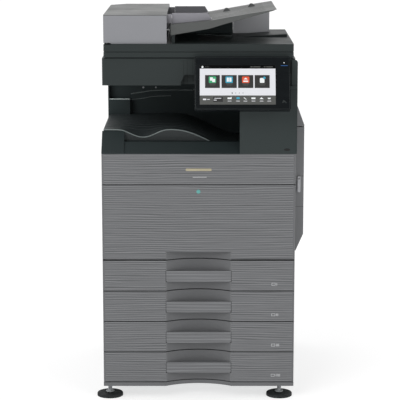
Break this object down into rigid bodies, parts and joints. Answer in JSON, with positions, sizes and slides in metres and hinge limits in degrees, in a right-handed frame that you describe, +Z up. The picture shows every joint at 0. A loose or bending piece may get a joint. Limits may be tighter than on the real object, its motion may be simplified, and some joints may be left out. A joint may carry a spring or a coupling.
{
  "type": "floor-standing photocopier",
  "caption": "Floor-standing colour copier with drawers, front cover, side door, exit bay, tilting touch panel, scanner and document feeder on levelling feet.",
  "frame": {"origin": "middle of the footprint, on the floor", "axes": "+Z up, -Y out of the front, +X to the right as seen from the front"},
  "size_m": [0.637, 0.7208, 1.1945],
  "materials": {
    "front_grey": "engraved satin",
    "grip_grey": "satin",
    "charcoal": "fine grain",
    "bay_black": "fine grain",
    "feeder_grey": "fine grain",
    "tray_grey": "fine grain",
    "guide_grey": "satin",
    "side_grey": "fine grain",
    "panel_black": "gloss",
    "screen": "lit display",
    "platen": "clear",
    "pad_white": "soft foam",
    "frame_steel": "zinc plated",
    "tub_grey": "fine grain",
    "foot_black": "matt",
    "wheel_grey": "matt",
    "roller_rubber": "matt",
    "toner": "satin",
    "unit_black": "fine grain",
    "fuser_metal": "brushed",
    "supply_metal": "zinc plated",
    "inlet_black": "satin",
    "lever_grey": "satin"
  },
  "bodies": {
    "cabinet": {"base_cover": "front_grey", "base_pan": "frame_steel", "left_frame": "frame_steel", "right_frame": "frame_steel", "rear_frame": "frame_steel", "engine_deck": "frame_steel", "inner_front_plate": "unit_black", "caster_forks": "frame_steel", "left_cover": "side_grey", "right_cover": "side_grey", "rear_cover": "side_grey", "upper_front_panel": "front_grey", "exit_tray": "bay_black", "bay_front_cover": "charcoal", "bay_rear_wall": "charcoal", "right_column": "charcoal", "scanner_housing": "charcoal", "scanner_top_frame": "charcoal", "platen_glass": "platen", "upper_right_cover": "side_grey", "laser_unit": "unit_black", "toner_cartridges": "toner", "drum_units": "unit_black", "transfer_belt_unit": "unit_black", "fuser_unit": "fuser_metal", "power_supply": "supply_metal", "mains_inlet": "inlet_black"},
    "levelling_foot_left": {"levelling_foot_left": "foot_black"},
    "levelling_foot_right": {"levelling_foot_right": "foot_black"},
    "caster_wheel_front_left": {"caster_wheel_front_left": "wheel_grey"},
    "caster_wheel_front_right": {"caster_wheel_front_right": "wheel_grey"},
    "caster_wheel_rear_left": {"caster_wheel_rear_left": "wheel_grey"},
    "caster_wheel_rear_right": {"caster_wheel_rear_right": "wheel_grey"},
    "drawer_1": {"drawer_1_front": "front_grey", "drawer_1_grip": "grip_grey", "drawer_1_tub": "tub_grey"},
    "drawer_2": {"drawer_2_front": "front_grey", "drawer_2_grip": "grip_grey", "drawer_2_tub": "tub_grey"},
    "drawer_3": {"drawer_3_front": "front_grey", "drawer_3_grip": "grip_grey", "drawer_3_tub": "tub_grey"},
    "drawer_4": {"drawer_4_front": "front_grey", "drawer_4_grip": "grip_grey", "drawer_4_tub": "tub_grey"},
    "front_cover": {"front_cover": "front_grey"},
    "exit_roller": {"exit_roller": "roller_rubber"},
    "scanner_carriage": {"scanner_carriage": "unit_black"},
    "feeder": {"feeder_base": "charcoal", "platen_pad": "pad_white"},
    "feeder_cover": {"feeder_cover": "feeder_grey"},
    "document_tray": {"document_tray": "tray_grey"},
    "document_guide_front": {"document_guide_front": "guide_grey"},
    "document_guide_rear": {"document_guide_rear": "guide_grey"},
    "pickup_roller": {"pickup_roller": "roller_rubber"},
    "control_panel": {"control_panel": "panel_black", "touch_screen": "screen"},
    "right_door": {"right_door": "side_grey"},
    "door_lever": {"door_lever": "lever_grey"},
    "bypass_tray": {"bypass_tray": "side_grey"}
  },
  "joints": [
    {"name": "levelling_foot_left_screw", "type": "slide", "parent": "cabinet", "child": "levelling_foot_left", "axis": [0, 0, -1], "range_m": [0, 0.006]},
    {"name": "levelling_foot_right_screw", "type": "slide", "parent": "cabinet", "child": "levelling_foot_right", "axis": [0, 0, -1], "range_m": [0, 0.006]},
    {"name": "caster_wheel_front_left_spin", "type": "hinge", "parent": "cabinet", "child": "caster_wheel_front_left", "pos_m": [-0.2335, -0.13256, 0.017], "axis": [1, 0, 0], "continuous": true},
    {"name": "caster_wheel_front_right_spin", "type": "hinge", "parent": "cabinet", "child": "caster_wheel_front_right", "pos_m": [0.2265, -0.13256, 0.017], "axis": [1, 0, 0], "continuous": true},
    {"name": "caster_wheel_rear_left_spin", "type": "hinge", "parent": "cabinet", "child": "caster_wheel_rear_left", "pos_m": [-0.2335, 0.26744, 0.017], "axis": [1, 0, 0], "continuous": true},
    {"name": "caster_wheel_rear_right_spin", "type": "hinge", "parent": "cabinet", "child": "caster_wheel_rear_right", "pos_m": [0.2265, 0.26744, 0.017], "axis": [1, 0, 0], "continuous": true},
    {"name": "drawer_1_slide", "type": "slide", "parent": "cabinet", "child": "drawer_1", "axis": [0, -1, 0], "range_m": [0, 0.44]},
    {"name": "drawer_2_slide", "type": "slide", "parent": "cabinet", "child": "drawer_2", "axis": [0, -1, 0], "range_m": [0, 0.44]},
    {"name": "drawer_3_slide", "type": "slide", "parent": "cabinet", "child": "drawer_3", "axis": [0, -1, 0], "range_m": [0, 0.44]},
    {"name": "drawer_4_slide", "type": "slide", "parent": "cabinet", "child": "drawer_4", "axis": [0, -1, 0], "range_m": [0, 0.44]},
    {"name": "front_cover_hinge", "type": "hinge", "parent": "cabinet", "child": "front_cover", "pos_m": [-0.0035, -0.27456, 0.444], "axis": [1, 0, 0], "range_deg": [0, 85]},
    {"name": "exit_roller_spin", "type": "hinge", "parent": "cabinet", "child": "exit_roller", "pos_m": [0.1545, -0.06256, 0.806], "axis": [0, 1, 0], "continuous": true},
    {"name": "scanner_carriage_slide", "type": "slide", "parent": "cabinet", "child": "scanner_carriage", "axis": [1, 0, 0], "range_m": [0, 0.47]},
    {"name": "feeder_hinge", "type": "hinge", "parent": "cabinet", "child": "feeder", "pos_m": [-0.0035, 0.26544, 1.058], "axis": [-1, 0, 0], "range_deg": [0, 65]},
    {"name": "feeder_cover_hinge", "type": "hinge", "parent": "feeder", "child": "feeder_cover", "pos_m": [-0.2795, -0.05256, 1.1], "axis": [0, -1, 0], "range_deg": [0, 75]},
    {"name": "document_tray_hinge", "type": "hinge", "parent": "feeder", "child": "document_tray", "pos_m": [-0.0795, -0.06256, 1.14], "axis": [0, -1, 0], "range_deg": [0, 18]},
    {"name": "document_guide_front_slide", "type": "slide", "parent": "document_tray", "child": "document_guide_front", "axis": [0, 1, 0], "range_m": [0, 0.095]},
    {"name": "document_guide_rear_slide", "type": "slide", "parent": "document_tray", "child": "document_guide_rear", "axis": [0, 1, 0], "range_m": [-0.095, 0]},
    {"name": "pickup_roller_spin", "type": "hinge", "parent": "feeder", "child": "pickup_roller", "pos_m": [-0.1535, -0.02256, 1.128], "axis": [0, 1, 0], "continuous": true},
    {"name": "control_panel_tilt", "type": "hinge", "parent": "cabinet", "child": "control_panel", "pos_m": [0.1265, -0.27626, 1.04], "axis": [-1, 0, 0], "range_deg": [-15, 22]},
    {"name": "right_door_hinge", "type": "hinge", "parent": "cabinet", "child": "right_door", "pos_m": [0.3125, 0.30844, 0.64], "axis": [0, 0, 1], "range_deg": [0, 90]},
    {"name": "door_lever_turn", "type": "hinge", "parent": "right_door", "child": "door_lever", "pos_m": [0.304, -0.21356, 0.676], "axis": [0, -1, 0], "range_deg": [0, 35]},
    {"name": "bypass_tray_hinge", "type": "hinge", "parent": "right_door", "child": "bypass_tray", "pos_m": [0.314, 0.02244, 0.507], "axis": [0, 1, 0], "range_deg": [0, 70]}
  ],
  "couplings": [
    {"joint": "document_guide_rear_slide", "follows": "document_guide_front_slide", "ratio": -1}
  ]
}
